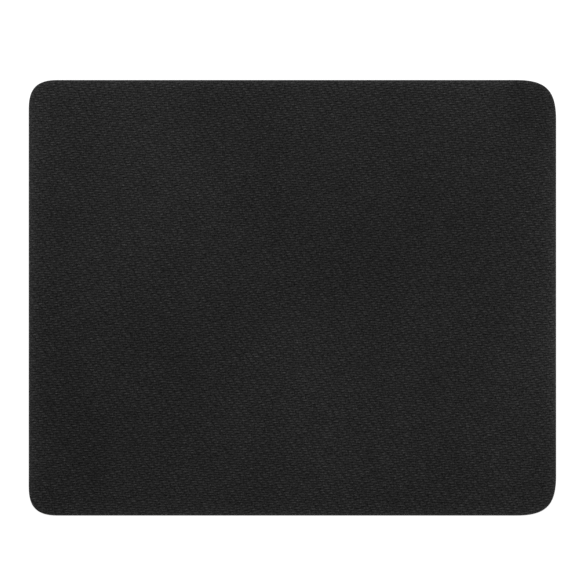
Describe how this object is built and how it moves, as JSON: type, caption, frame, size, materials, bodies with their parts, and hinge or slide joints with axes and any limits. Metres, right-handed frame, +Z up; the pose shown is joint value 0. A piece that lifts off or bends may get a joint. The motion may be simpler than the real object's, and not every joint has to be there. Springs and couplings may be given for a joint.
{
  "type": "mouse pad",
  "caption": "Flat rectangular mouse pad with rounded corners: black twill cloth face bonded to a sponge rubber base with a wavy anti-slip tread.",
  "frame": {"origin": "on the desk surface, under the middle of the pad", "axes": "+X along the long side, to the right as the pad is used; +Y along the short side, away from the user; +Z up out of the cloth face"},
  "size_m": [0.23, 0.19, 0.003],
  "materials": {
    "cloth": "matt black twill",
    "film": "thin cured adhesive film, seen only as a line at the cut edge",
    "rubber": "matt black sponge rubber, skinned on the moulded underside, open-celled on the cut edge"
  },
  "bodies": {
    "root": {"rubber_base": "rubber", "bond_film": "film", "cloth_face": "cloth"}
  },
  "joints": []
}
